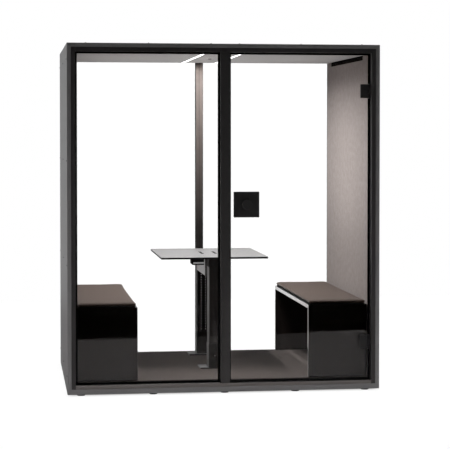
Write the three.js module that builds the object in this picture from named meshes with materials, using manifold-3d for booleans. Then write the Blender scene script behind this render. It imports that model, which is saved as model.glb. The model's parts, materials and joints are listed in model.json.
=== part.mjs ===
// Acoustic office pod for two: a glazed booth with a hinged glass door, two benches and a table.
// Millimetres, +Z up, the glazed front faces -Y. The origin is on the ground under the middle of the pod.
import * as THREE from "three";
import { mergeVertices } from "three/addons/utils/BufferGeometryUtils.js";
import Module from "manifold-3d";

// Body
const podWidth = 2000;
const podDepth = 1455;
const bodyHeight = 2210;
const footHeight = 10;
const footDiameter = 50;
const footInset = 45; // centre of a foot to the front or rear face
const footSpacing = 457; // between neighbouring feet along the front
const feetPerSide = 2; // feet on each side of the middle one
const baseHeight = 32;
const deckRise = 29;
const carpetThickness = 7.7;
const skinThickness = 25;
const roofThickness = 25;
const liningThickness = 34.7;
const ceilingThickness = 32.7;
const panelEdgeRadius = 3;
const jointGap = 0.3; // between pieces that touch

// Front and rear frames
const frameFace = 27;
const sillFace = 22;
const frameSetback = 4; // frame behind the skin edge
const frontFrameDepth = 76;
const rearFrameDepth = 40;
const frameArris = 1.5;
const mullionFace = 60;
const rearPostFace = 48;

// Glazing
const glassThickness = 10;
const glassSetback = 45; // front of the pod to the front of the glass
const gasketWidth = 12;
const gasketLip = 5; // rubber in front of the pane and behind it
const glassBite = 8; // how far a pane reaches into its gasket
const rearGasketWidth = 4;
const rearGlassBite = 2.5;

// Door leaf and seal
const doorEdgeGap = 4; // leaf to mullion
const doorEndGap = 5; // leaf to head and to sill
const pivotOffset = 11; // hinge axis to the right reveal
const sealWidth = 12;
const sealDepth = 8;
const sealGap = 1.8; // back of the leaf to the seal
const sealLap = 3; // seal past the leaf's edge on the hinge side

// Door hinges
const hingeInset = 238; // leaf end to the middle of a hinge
const hingeHeight = 88;
const clampReach = 54; // hinge axis to the far edge of the clamp
const clampSetback = 8; // hinge axis to the near edge of the clamp
const clampPlate = 3.7;
const clampBridge = 4;
const knuckleRadius = 6;
const knuckleGap = 0.5; // between neighbouring knuckles
const hingeWeb = 8;
const leafStandoff = 7; // hinge axis to the frame leaf
const leafDepth = 12.5;
const pinRadius = 3;
const pinGap = 0.08;
const pinHeadRadius = 5;
const pinHeadHeight = 2;
const notchGap = 1; // glass notch to the hinge parts in it

// Pull knobs
const knobPlateSize = 164;
const knobPlateThickness = 4;
const knobPlateRadius = 3;
const knobPlateInset = 25.5; // leaf edge to plate edge
const knobHeight = 1120; // above the carpet
const knobDiameter = 62;
const knobThickness = 20;
const knobNeckDiameter = 30;
const knobNeckLength = 13;
const knobRounding = 3;
const spindleDiameter = 16;

// Lights and sensor
const ledOffset = 120; // strip centre to the middle of the pod
const ledWidth = 20;
const ledThickness = 6;
const ledRecess = 6;
const ledEndMargin = 12;
const sensorDiameter = 24;
const sensorDrop = 4;
const sensorBevel = 3;
const sensorShankDiameter = 16;
const sensorShank = 14;
const sensorFromFront = 802;

// Air: a slot at the top of each wall, ducts on the ceiling and one extract fan under the roof
const ventLength = 1027;
const ventHeight = 29;
const ventDepth = 18;
const ventFromFront = 240;
const grilleThickness = 3;
const grilleSetback = 1;
const grilleSlot = 20;
const grilleRib = 11;
const grilleEdge = 5;
const fanSize = 120;
const fanDepth = 15;
const fanBore = 112;
const fanCorner = 8;
const fanHub = 42;
const fanTipGap = 2;
const fanBlades = 7;
const fanBladeThickness = 1.8;
const fanBladeChord = 24;
const fanRootPitch = 20; // degrees from flat at the hub
const fanTipPitch = 12;
const fanStrut = 6;
const fanStrutHeight = 2.5;
const fanRunningGap = 0.5;
const fanFromFront = 1128;
const fanPocketMargin = 20;
const fanPocketDepth = 27;
const ductWidth = 80;
const ductDepth = 14;
const exhaustSlots = 6;
const exhaustSlotWidth = 8;
const exhaustSlotPitch = 17;
const exhaustSlotLength = 96;

// Benches
const benchFromFront = 95;
const benchLength = 1300;
const benchDepth = 386;
const benchWallGap = 2;
const seatHeight = 500; // top of the pad above the carpet
const seatBoardThickness = 24;
const seatBoardArris = 1;
const endPanelThickness = 19;
const padThickness = 32.7;
const padInset = 3; // pad behind the board's edges
const padCorner = 24;
const padCrown = 5;
const padEdgeRoll = 8;
const padWaist = 3; // how far each side is drawn in at its middle
const padRecess = 6; // height of the drawn-in strip under the pad
const padRecessInset = 7;

// Table
const tableWidth = 720;
const tableDepth = 834;
const tableThickness = 12;
const tableHeight = 748; // table top above the carpet
const tableFromFront = 512;
const tableCornerRadius = 14;
const tableArris = 1.2;
const cableSlotOffset = 46;
const cableSlotLength = 190;
const cableSlotWidth = 12;
const columnWidth = 80;
const columnDepth = 105;
const columnCornerRadius = 8;
const columnOverhang = 22; // table end past the column
const headBlockHeight = 53;
const headBlockMargin = 1;
const endBlockLength = 103;
const beamHeight = 132;
const beamArris = 3;
const sleeveHeight = 158;
const sleeveWall = 3;
const basePlateWidth = 200;
const basePlateDepth = 150;
const basePlateThickness = 8;
const basePlateCorner = 10;
const powerBoxWidth = 88;
const powerBoxDepth = 70;
const powerBoxHeight = 42;
const powerBoxFromColumn = 158; // front column to the box
const powerBoxDrop = 20; // table underside to the box
const powerBoxChamfer = 10;
const chainWidth = 42;
const chainDepth = 22;
const chainCorner = 4;
const chainLinkHeight = 12.4;
const chainPitch = 18.4;
const chainNeckWidth = 22;
const chainNeckDepth = 12;
const chainOffset = 3; // chain right of the column's middle
const chainFloorGap = 12; // last link to the column's sleeve

// Fineness of round forms
const roundSteps = 24;
const knobSteps = 40;
const cornerSteps = 3;

// Places worked out from the sizes
const left = -podWidth / 2;
const right = podWidth / 2;
const front = -podDepth / 2;
const rear = podDepth / 2;
const baseTop = footHeight + baseHeight;
const deckTop = baseTop + deckRise;
const floorTop = deckTop + jointGap + carpetThickness;
const roofTop = footHeight + bodyHeight;
const roofUnder = roofTop - roofThickness;
const ceilingTop = roofUnder - jointGap;
const ceilingUnder = ceilingTop - ceilingThickness;
const skinInner = right - skinThickness;
const liningInner = skinInner - jointGap - liningThickness;
const frameOuter = skinInner - jointGap;
const reveal = frameOuter - frameFace;
const frameBottom = baseTop + jointGap;
const frameTop = roofUnder - jointGap;
const sillTop = frameBottom + sillFace;
const headUnder = frameTop - frameFace;
const frontFrameFace = front + frameSetback;
const frontFrameBack = frontFrameFace + frontFrameDepth;
const rearFrameFace = rear - frameSetback;
const rearFrameBack = rearFrameFace - rearFrameDepth;
const liningFront = frontFrameBack + jointGap;
const liningRear = rearFrameBack - jointGap;
const mullionSide = mullionFace / 2;
const postSide = rearPostFace / 2;
const frontGlassMid = front + glassSetback + glassThickness / 2;
const rearGlassMid = (rearFrameFace + rearFrameBack) / 2;
const doorEdge = mullionSide + doorEdgeGap;
const doorBottom = sillTop + doorEndGap;
const doorTop = headUnder - doorEndGap;
const pivotX = reveal - pivotOffset;
const pivotY = frontGlassMid;
const hingeHeights = { upper: doorTop - hingeInset, lower: doorBottom + hingeInset };
const knobX = doorEdge + knobPlateInset + knobPlateSize / 2;
const knobZ = floorTop + knobHeight;
const tableTop = floorTop + tableHeight;
const tableUnder = tableTop - tableThickness;
const tableFront = front + tableFromFront;
const tableRear = tableFront + tableDepth;
const frontColumnFace = tableFront + columnOverhang;
const frontColumnBack = frontColumnFace + columnDepth;
const rearColumnBack = tableRear - columnOverhang;
const rearColumnFace = rearColumnBack - columnDepth;
const frameworkTop = tableUnder - jointGap;
const beamUnder = frameworkTop - beamHeight;
const columnFoot = floorTop + jointGap + basePlateThickness + jointGap;
const sleeveTop = columnFoot + sleeveHeight;

// Geometry helpers
const wasm = await Module();
wasm.setup();

function toSolid(geometry) {
  const source = geometry.index ? geometry.toNonIndexed() : geometry;
  const bare = new THREE.BufferGeometry();
  bare.setAttribute("position", source.getAttribute("position").clone());
  const merged = mergeVertices(bare, 1e-4);
  const mesh = new wasm.Mesh({
    numProp: 3,
    vertProperties: new Float32Array(merged.attributes.position.array),
    triVerts: new Uint32Array(merged.index.array),
  });
  return new wasm.Manifold(mesh);
}

function toGeometry(solid) {
  const mesh = solid.getMesh();
  const geometry = new THREE.BufferGeometry();
  geometry.setAttribute("position", new THREE.BufferAttribute(mesh.vertProperties, 3));
  geometry.setIndex(new THREE.BufferAttribute(mesh.triVerts, 1));
  return geometry;
}

function join(...pieces) {
  return toGeometry(pieces.map(toSolid).reduce((whole, piece) => whole.add(piece)));
}

function cut(piece, ...tools) {
  return toGeometry(tools.map(toSolid).reduce((whole, tool) => whole.subtract(tool), toSolid(piece)));
}

function common(piece, tool) {
  return toGeometry(toSolid(piece).intersect(toSolid(tool)));
}

function box(x0, x1, y0, y1, z0, z1) {
  const geometry = new THREE.BoxGeometry(Math.abs(x1 - x0), Math.abs(y1 - y0), Math.abs(z1 - z0));
  return geometry.translate((x0 + x1) / 2, (y0 + y1) / 2, (z0 + z1) / 2);
}

function roundedRect(xa, xb, ya, yb, radius) {
  const [x0, x1] = [Math.min(xa, xb), Math.max(xa, xb)];
  const [y0, y1] = [Math.min(ya, yb), Math.max(ya, yb)];
  const shape = new THREE.Shape();
  shape.moveTo(x0 + radius, y0);
  shape.lineTo(x1 - radius, y0);
  shape.absarc(x1 - radius, y0 + radius, radius, -Math.PI / 2, 0);
  shape.lineTo(x1, y1 - radius);
  shape.absarc(x1 - radius, y1 - radius, radius, 0, Math.PI / 2);
  shape.lineTo(x0 + radius, y1);
  shape.absarc(x0 + radius, y1 - radius, radius, Math.PI / 2, Math.PI);
  shape.lineTo(x0, y0 + radius);
  shape.absarc(x0 + radius, y0 + radius, radius, Math.PI, Math.PI * 1.5);
  return shape;
}

function extrude(shape, depth, curveSegments = cornerSteps) {
  return new THREE.ExtrudeGeometry(shape, { depth, bevelEnabled: false, curveSegments });
}

// Bars along Z, X and Y with their four long edges rounded
function barZ(x0, x1, y0, y1, z0, z1, radius) {
  return extrude(roundedRect(x0, x1, y0, y1, radius), z1 - z0).translate(0, 0, z0);
}

function barX(x0, x1, y0, y1, z0, z1, radius) {
  const bar = extrude(roundedRect(y0, y1, z0, z1, radius), x1 - x0);
  return bar.rotateX(Math.PI / 2).rotateZ(Math.PI / 2).translate(x0, 0, 0);
}

function barY(x0, x1, y0, y1, z0, z1, radius) {
  return extrude(roundedRect(x0, x1, z0, z1, radius), y1 - y0).rotateX(Math.PI / 2).translate(0, y1, 0);
}

// A flat slab, rounded in plan, with eased upper and lower edges
function slab(x0, x1, y0, y1, z0, z1, cornerRadius, ease) {
  const shape = roundedRect(x0 + ease, x1 - ease, y0 + ease, y1 - ease, cornerRadius);
  const options = {
    depth: z1 - z0 - 2 * ease,
    bevelThickness: ease,
    bevelSize: ease,
    bevelSegments: 2,
    curveSegments: cornerSteps,
  };
  return new THREE.ExtrudeGeometry(shape, options).translate(0, 0, z0 + ease);
}

function cylinderZ(radius, x, y, z0, z1) {
  const geometry = new THREE.CylinderGeometry(radius, radius, z1 - z0, roundSteps);
  return geometry.rotateX(Math.PI / 2).translate(x, y, (z0 + z1) / 2);
}

function cylinderY(radius, x, z, y0, y1, steps = roundSteps) {
  return new THREE.CylinderGeometry(radius, radius, y1 - y0, steps).translate(x, (y0 + y1) / 2, z);
}

// A turned piece: [radius, height] points from the foot to the top, spun about Y
function turned(points, steps) {
  return new THREE.LatheGeometry(points.map(([r, h]) => new THREE.Vector2(r, h)), steps);
}

// A closed form through rings of equal point count, with a point at each end
function loft(rings, foot, tip) {
  const count = rings[0].length;
  const points = [foot, ...rings.flat(), tip];
  const at = (ring, i) => 1 + ring * count + (i % count);
  const faces = [];
  for (let i = 0; i < count; i++) {
    faces.push(0, at(0, i + 1), at(0, i));
    for (let ring = 0; ring < rings.length - 1; ring++) {
      faces.push(at(ring, i), at(ring, i + 1), at(ring + 1, i + 1));
      faces.push(at(ring, i), at(ring + 1, i + 1), at(ring + 1, i));
    }
    faces.push(at(rings.length - 1, i), at(rings.length - 1, i + 1), points.length - 1);
  }
  const geometry = new THREE.BufferGeometry();
  geometry.setAttribute("position", new THREE.Float32BufferAttribute(points.flat(), 3));
  geometry.setIndex(faces);
  return geometry;
}

// Finishes
const finishes = {
  shell: { color: 0x7b7d7f, roughness: 0.55, metalness: 0 },
  frame: { color: 0x303032, roughness: 0.5, metalness: 0.1 },
  rubber: { color: 0x0c0c0d, roughness: 0.8, metalness: 0 },
  glass: { color: 0xf4f8f8, roughness: 0.02, metalness: 0, transparent: true, opacity: 0.15 },
  felt: { color: 0xa0988f, roughness: 0.95, metalness: 0 },
  ceiling: { color: 0x969393, roughness: 0.8, metalness: 0 },
  carpet: { color: 0x625a56, roughness: 1, metalness: 0 },
  hardware: { color: 0x1c1c1d, roughness: 0.45, metalness: 0.4 },
  light: { color: 0xffffff, roughness: 0.4, metalness: 0, emissive: 0xffffff },
  blackPlastic: { color: 0x111112, roughness: 0.6, metalness: 0 },
  laminate: { color: 0xbcbab8, roughness: 0.5, metalness: 0 },
  benchBoard: { color: 0x2a2727, roughness: 0.5, metalness: 0 },
  upholstery: { color: 0x736760, roughness: 0.95, metalness: 0 },
  tableMetal: { color: 0x9a9a9b, roughness: 0.5, metalness: 0.2 },
  steel: { color: 0x9a9a9c, roughness: 0.35, metalness: 0.9 },
};

const pod = new THREE.Group();

function add(name, geometry, finish) {
  const mesh = new THREE.Mesh(geometry, new THREE.MeshStandardMaterial(finishes[finish]));
  mesh.name = name;
  pod.add(mesh);
}

// Base: a cassette on levelling feet with a raised deck, and the carpet on it
function makeBase() {
  const cassette = barZ(left, right, front, rear, footHeight, baseTop, panelEdgeRadius);
  const deckSide = frameOuter - jointGap;
  const deck = box(-deckSide, deckSide, liningFront, liningRear, footHeight + baseHeight / 2, deckTop);
  const feet = [];
  for (let i = -feetPerSide; i <= feetPerSide; i++) {
    for (const y of [front + footInset, rear - footInset]) {
      feet.push(cylinderZ(footDiameter / 2, i * footSpacing, y, 0, footHeight + baseHeight / 2));
    }
  }
  add("base_cassette", join(cassette, deck, ...feet), "shell");
  const side = liningInner - jointGap;
  add("carpet", box(-side, side, liningFront, liningRear, deckTop + jointGap, floorTop), "carpet");
}

// One side wall: outer skin, felt-faced lining and the grille in its vent slot
function makeWall(name, sign) {
  const ventY = front + ventFromFront;
  const ventFoot = ceilingUnder - ventHeight;
  const skin = barZ(sign * skinInner, sign * right, front, rear, frameBottom, frameTop, panelEdgeRadius);
  add(`${name}_wall_skin`, skin, "shell");
  const liningOuter = sign * frameOuter;
  const panel = box(sign * liningInner, liningOuter, liningFront, liningRear, deckTop + jointGap, ceilingTop);
  const mouth = sign * (liningInner - ventDepth);
  const slot = box(mouth, sign * (liningInner + ventDepth), ventY, ventY + ventLength, ventFoot, roofTop);
  add(`${name}_wall_lining`, cut(panel, slot), "felt");
  const face = liningInner + grilleSetback;
  const y0 = ventY + jointGap;
  const y1 = ventY + ventLength - jointGap;
  const z0 = ventFoot + jointGap;
  const z1 = ceilingUnder - jointGap;
  const plate = box(sign * face, sign * (face + grilleThickness), y0, y1, z0, z1);
  const pitch = grilleSlot + grilleRib;
  const count = Math.floor((y1 - y0 - 2 * grilleEdge + grilleRib) / pitch);
  const start = (y0 + y1 - count * pitch + grilleRib) / 2;
  const slots = [];
  for (let i = 0; i < count; i++) {
    const y = start + i * pitch;
    slots.push(box(0, sign * right, y, y + grilleSlot, z0 + grilleEdge, z1 - grilleEdge));
  }
  add(`${name}_vent_grille`, cut(plate, ...slots), "blackPlastic");
}

// Roof with exhaust slots, ceiling with light grooves, fan pocket and ducts
function makeTop() {
  const fanY = front + fanFromFront;
  const slots = [];
  for (let i = 0; i < exhaustSlots; i++) {
    const x = (i - (exhaustSlots - 1) / 2) * exhaustSlotPitch;
    const half = exhaustSlotWidth / 2;
    const reach = exhaustSlotLength / 2;
    const over = panelEdgeRadius;
    slots.push(barZ(x - half, x + half, fanY - reach, fanY + reach, roofUnder - over, roofTop + over, half - 0.5));
  }
  const roof = slab(left, right, front, rear, roofUnder, roofTop, panelEdgeRadius, panelEdgeRadius / 2);
  add("roof_panel", cut(roof, ...slots), "shell");

  const side = liningInner - jointGap;
  const panel = box(-side, side, liningFront, liningRear, ceilingUnder, ceilingTop);
  const tools = [];
  const y0 = liningFront + ledEndMargin;
  const y1 = liningRear - ledEndMargin;
  const grooveTop = ceilingUnder + ledRecess + ledThickness + jointGap;
  for (const [name, sign] of [["left", -1], ["right", 1]]) {
    const x = sign * ledOffset;
    const half = ledWidth / 2;
    const wide = half + jointGap;
    tools.push(box(x - wide, x + wide, y0 - jointGap, y1 + jointGap, ceilingUnder - ledRecess, grooveTop));
    const strip = box(x - half, x + half, y0, y1, ceilingUnder + ledRecess, grooveTop - jointGap);
    add(`${name}_light_diffuser`, strip, "light");
  }
  const sensorY = front + sensorFromFront;
  const shankHole = sensorShankDiameter / 2 + jointGap;
  tools.push(cylinderZ(shankHole, 0, sensorY, ceilingUnder - sensorDrop, ceilingUnder + sensorShank + jointGap));
  const pocket = fanSize / 2 + fanPocketMargin;
  tools.push(box(-pocket, pocket, fanY - pocket, fanY + pocket, ceilingTop - fanPocketDepth, roofTop));
  tools.push(box(left, right, fanY - ductWidth / 2, fanY + ductWidth / 2, ceilingTop - ductDepth, roofTop));
  add("ceiling_panel", cut(panel, ...tools), "ceiling");

  const capTop = ceilingUnder - jointGap;
  const cap = turned(
    [
      [0, capTop - sensorDrop],
      [sensorDiameter / 2 - sensorBevel, capTop - sensorDrop],
      [sensorDiameter / 2, capTop - sensorDrop + sensorBevel],
      [sensorDiameter / 2, capTop],
      [sensorShankDiameter / 2, capTop],
      [sensorShankDiameter / 2, ceilingUnder + sensorShank],
      [0, ceilingUnder + sensorShank],
    ],
    roundSteps,
  );
  add("ceiling_sensor", cap.rotateX(Math.PI / 2).translate(0, sensorY, 0), "blackPlastic");
  makeFan(fanY, roofUnder - jointGap);
}

function makeFan(fanY, top) {
  const half = fanSize / 2;
  const foot = top - fanDepth;
  const plate = barZ(-half, half, -half, half, foot, top, fanCorner);
  const ring = cut(plate, cylinderZ(fanBore / 2, 0, 0, foot - fanDepth, top + fanDepth));
  const strutTop = foot + fanStrutHeight;
  const reach = (fanBore + fanSize) / 4;
  const arm = fanStrut / 2;
  const housing = join(
    ring,
    box(-reach, reach, -arm, arm, foot, strutTop),
    box(-arm, arm, -reach, reach, foot, strutTop),
    cylinderZ(fanHub / 2, 0, 0, foot, strutTop),
  );
  add("fan_housing", housing.translate(0, fanY, 0), "blackPlastic");

  const hubFoot = strutTop + fanRunningGap;
  const hubTop = top - fanRunningGap;
  const tip = fanBore / 2 - fanTipGap;
  const root = fanHub / 2 - fanStrut / 2;
  const blades = [];
  for (let i = 0; i < fanBlades; i++) {
    const blade = new THREE.BoxGeometry(tip + fanTipGap - root, fanBladeChord, fanBladeThickness, 4, 1, 1);
    blade.translate((tip + fanTipGap + root) / 2, 0, 0);
    const position = blade.getAttribute("position");
    for (let k = 0; k < position.count; k++) {
      const share = (position.getX(k) - root) / (tip + fanTipGap - root);
      const pitch = THREE.MathUtils.degToRad(fanRootPitch + (fanTipPitch - fanRootPitch) * share);
      const [y, z] = [position.getY(k), position.getZ(k)];
      position.setY(k, y * Math.cos(pitch) - z * Math.sin(pitch));
      position.setZ(k, y * Math.sin(pitch) + z * Math.cos(pitch));
    }
    blades.push(blade.translate(0, 0, (hubFoot + hubTop) / 2).rotateZ((2 * Math.PI * i) / fanBlades));
  }
  const wheel = join(cylinderZ(fanHub / 2, 0, 0, hubFoot, hubTop), ...blades);
  const rotor = common(wheel, cylinderZ(tip, 0, 0, hubFoot, hubTop));
  add("fan_rotor", rotor.translate(0, fanY, 0), "blackPlastic");
}

// Front and rear frames: stiles run full height, head and sill fit between them
function makeFrame(name, y0, y1, centreName, centreSide) {
  const inner = reveal - jointGap;
  add(`${name}_stile_left`, barZ(-frameOuter, -reveal, y0, y1, frameBottom, frameTop, frameArris), "frame");
  add(`${name}_stile_right`, barZ(reveal, frameOuter, y0, y1, frameBottom, frameTop, frameArris), "frame");
  add(`${name}_sill`, barX(-inner, inner, y0, y1, frameBottom, sillTop, frameArris), "frame");
  add(`${name}_head`, barX(-inner, inner, y0, y1, headUnder, frameTop, frameArris), "frame");
  const centre = barZ(
    -centreSide, centreSide, y0, y1, sillTop + jointGap, headUnder - jointGap, frameArris,
  );
  add(centreName, centre, "frame");
}

// A fixed pane held by a grooved rubber gasket
function makePane(glassName, gasketName, xa, xb, mid, width, bite) {
  const x0 = Math.min(xa, xb) + jointGap;
  const x1 = Math.max(xa, xb) - jointGap;
  const z0 = sillTop + 2 * jointGap;
  const z1 = headUnder - 2 * jointGap;
  const half = glassThickness / 2;
  const lip = half + gasketLip;
  const ring = box(x0, x1, mid - lip, mid + lip, z0, z1);
  const sight = box(
    x0 + width, x1 - width, mid - 2 * lip, mid + 2 * lip, z0 + width, z1 - width,
  );
  const edge = width - bite;
  const groove = box(
    x0 + edge - jointGap, x1 - edge + jointGap, mid - half - jointGap, mid + half + jointGap,
    z0 + edge - jointGap, z1 - edge + jointGap,
  );
  add(gasketName, cut(ring, sight, groove), "rubber");
  add(glassName, box(x0 + edge, x1 - edge, mid - half, mid + half, z0 + edge, z1 - edge), "glass");
}

// Door leaf with its notches and spindle hole, and the seal it closes against
function makeDoor() {
  const half = glassThickness / 2;
  const leaf = box(doorEdge, pivotX, pivotY - half, pivotY + half, doorBottom, doorTop);
  const notchDepth = clampSetback + clampBridge + notchGap;
  const notchHalf = hingeHeight / 2 + jointGap + pinHeadHeight + notchGap;
  const tools = [];
  for (const z of Object.values(hingeHeights)) {
    tools.push(
      box(pivotX - notchDepth, right, pivotY - 2 * half, pivotY + 2 * half, z - notchHalf, z + notchHalf),
    );
  }
  const holeRadius = spindleDiameter / 2 + 2 * jointGap;
  tools.push(cylinderY(holeRadius, knobX, knobZ, pivotY - 2 * half, pivotY + 2 * half));
  add("door_glass", cut(leaf, ...tools), "glass");

  const y0 = pivotY + half + sealGap;
  const y1 = y0 + sealDepth;
  const x0 = mullionSide + jointGap;
  const x1 = reveal - jointGap;
  const z0 = sillTop + 2 * jointGap;
  const z1 = headUnder - 2 * jointGap;
  const sight = box(
    x0 + sealWidth, pivotX - sealLap, y0 - sealDepth, y1 + sealDepth, z0 + sealWidth, z1 - sealWidth,
  );
  add("door_seal", cut(box(x0, x1, y0, y1, z0, z1), sight), "rubber");
}

// One glass hinge: a leaf on the reveal with two knuckles, a clamp with the middle knuckle, and a pin
function makeHinge(name, z) {
  const half = hingeHeight / 2;
  const third = hingeHeight / 6;
  const bore = cylinderZ(pinRadius + pinGap, pivotX, pivotY, z - hingeHeight, z + hingeHeight);
  const web = hingeWeb / 2;

  const leafFront = pivotY - leafDepth / 2;
  const leafFace = pivotX + leafStandoff;
  const leaf = [box(leafFace, reveal - jointGap, leafFront, leafFront + leafDepth, z - half, z + half)];
  for (const [z0, z1] of [[z - half, z - third - knuckleGap], [z + third + knuckleGap, z + half]]) {
    leaf.push(cylinderZ(knuckleRadius, pivotX, pivotY, z0, z1));
    leaf.push(box(pivotX, leafFace + clampPlate / 2, pivotY - web, pivotY + web, z0, z1));
  }
  add(`${name}_hinge_leaf`, cut(join(...leaf), bore), "hardware");

  const near = pivotX - clampSetback;
  const far = pivotX - clampReach;
  const inner = glassThickness / 2 + jointGap;
  const outer = inner + clampPlate;
  const clamp = join(
    box(far, near, pivotY - outer, pivotY - inner, z - half, z + half),
    box(far, near, pivotY + inner, pivotY + outer, z - half, z + half),
    box(near - clampBridge, near, pivotY - outer, pivotY + outer, z - half, z + half),
    box(near - clampBridge / 2, pivotX, pivotY - web, pivotY + web, z - third, z + third),
    cylinderZ(knuckleRadius, pivotX, pivotY, z - third, z + third),
  );
  add(`${name}_hinge_clamp`, cut(clamp, bore), "hardware");

  const pinHalf = half + jointGap;
  const pin = join(
    cylinderZ(pinRadius, pivotX, pivotY, z - pinHalf - pinHeadHeight / 2, z + pinHalf + pinHeadHeight / 2),
    cylinderZ(pinHeadRadius, pivotX, pivotY, z - pinHalf - pinHeadHeight, z - pinHalf),
    cylinderZ(pinHeadRadius, pivotX, pivotY, z + pinHalf, z + pinHalf + pinHeadHeight),
  );
  add(`${name}_hinge_pin`, pin, "steel");
}

// Plates and pull knobs on both faces of the leaf, held together by a spindle through the glass
function makeKnobs() {
  const plateFoot = glassThickness / 2 + jointGap;
  const plateTop = plateFoot + knobPlateThickness;
  const neckFoot = plateTop + jointGap;
  const neckTop = neckFoot + knobNeckLength;
  const knobTop = neckTop + knobThickness;
  const size = knobPlateSize / 2;
  const hole = spindleDiameter / 2 + jointGap;
  for (const [name, sign] of [["outer", -1], ["inner", 1]]) {
    const [y0, y1] = sign < 0 ? [-plateTop, -plateFoot] : [plateFoot, plateTop];
    const plate = barY(-size, size, y0, y1, -size, size, knobPlateRadius);
    const drilled = cut(plate, cylinderY(hole, 0, 0, -knobPlateSize, knobPlateSize));
    add(`${name}_knob_plate`, drilled.translate(knobX, pivotY, knobZ), "hardware");
  }
  const neck = knobNeckDiameter / 2;
  const rim = knobDiameter / 2;
  const soft = knobRounding;
  const headProfile = [
    [neck, neckFoot],
    [neck, neckTop],
    [rim - soft, neckTop],
    [rim, neckTop + soft],
    [rim, knobTop - soft],
    [rim - soft * 0.3, knobTop - soft * 0.3],
    [rim - soft, knobTop],
    [0, knobTop],
  ];
  const spindle = spindleDiameter / 2;
  const spindleEnd = jointGap - neckFoot;
  const outer = turned([[0, spindleEnd], [spindle, spindleEnd], [spindle, neckFoot], ...headProfile], knobSteps);
  add("outer_knob", outer.rotateX(Math.PI).translate(knobX, pivotY, knobZ), "hardware");
  const inner = turned([[0, neckFoot], ...headProfile], knobSteps);
  add("inner_knob", inner.translate(knobX, pivotY, knobZ), "hardware");
}

// Outline of a seat pad, drawn in between its corners, at one height
function padOutline(halfWidth, halfLength, inset, z) {
  const w = halfWidth - inset;
  const l = halfLength - inset;
  const r = padCorner - Math.min(inset, padCorner / 2);
  const ring = [];
  const arc = 5;
  const across = 4;
  const along = 10;
  const corners = [[1, -1, -90], [1, 1, 0], [-1, 1, 90], [-1, -1, 180]];
  corners.forEach(([sx, sy, start], k) => {
    for (let i = 0; i <= arc; i++) {
      const a = THREE.MathUtils.degToRad(start + (90 * i) / arc);
      ring.push([sx * (w - r) + r * Math.cos(a), sy * (l - r) + r * Math.sin(a), z]);
    }
    const steps = k % 2 === 0 ? along : across;
    for (let i = 1; i < steps; i++) {
      const t = (2 * i) / steps - 1;
      const drawn = padWaist * (1 - t * t);
      if (k === 0) ring.push([w - drawn, t * (l - r), z]);
      if (k === 1) ring.push([-t * (w - r), l - drawn, z]);
      if (k === 2) ring.push([-w + drawn, -t * (l - r), z]);
      if (k === 3) ring.push([t * (w - r), -l + drawn, z]);
    }
  });
  return ring;
}

function makePad(x0, x1, y0, y1, foot) {
  const halfWidth = (x1 - x0) / 2;
  const halfLength = (y1 - y0) / 2;
  const edgeTop = foot + padThickness - padCrown;
  const rings = [];
  rings.push(padOutline(halfWidth, halfLength, padRecessInset, foot));
  rings.push(padOutline(halfWidth, halfLength, padRecessInset, foot + padRecess));
  rings.push(padOutline(halfWidth, halfLength, padRecessInset / 3, foot + padRecess));
  rings.push(padOutline(halfWidth, halfLength, 0, foot + padRecess + padRecessInset / 3));
  for (let i = 0; i <= 3; i++) {
    const a = ((Math.PI / 2) * i) / 3;
    const z = edgeTop - padEdgeRoll * (1 - Math.sin(a));
    rings.push(padOutline(halfWidth, halfLength, padEdgeRoll * (1 - Math.cos(a)), z));
  }
  const shoulder = rings[rings.length - 1];
  for (const share of [0.9, 0.75, 0.5, 0.25]) {
    const z = edgeTop + padCrown * (1 - share * share);
    rings.push(shoulder.map(([x, y]) => [x * share, y * share, z]));
  }
  const pad = loft(rings, [0, 0, foot], [0, 0, edgeTop + padCrown]);
  return pad.translate((x0 + x1) / 2, (y0 + y1) / 2, 0);
}

// One bench: a board over two end panels, open towards the table, with an upholstered pad
function makeBench(name, sign) {
  const outer = liningInner - benchWallGap;
  const inner = outer - benchDepth;
  const y0 = front + benchFromFront;
  const y1 = y0 + benchLength;
  const boardTop = floorTop + seatHeight - padThickness - jointGap;
  const boardUnder = boardTop - seatBoardThickness;
  const x0 = Math.min(sign * inner, sign * outer);
  const x1 = Math.max(sign * inner, sign * outer);
  const board = slab(x0, x1, y0, y1, boardUnder, boardTop, seatBoardArris, seatBoardArris);
  add(`${name}_seat_board`, board, "benchBoard");
  const panelFoot = floorTop + jointGap;
  const panelTop = boardUnder - jointGap;
  const t = endPanelThickness;
  add(`${name}_bench_front_panel`, barZ(x0, x1, y0, y0 + t, panelFoot, panelTop, seatBoardArris), "benchBoard");
  add(`${name}_bench_rear_panel`, barZ(x0, x1, y1 - t, y1, panelFoot, panelTop, seatBoardArris), "benchBoard");
  const pad = makePad(x0 + padInset, x1 - padInset, y0 + padInset, y1 - padInset, boardTop + jointGap);
  add(`${name}_seat_pad`, pad, "upholstery");
}

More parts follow.
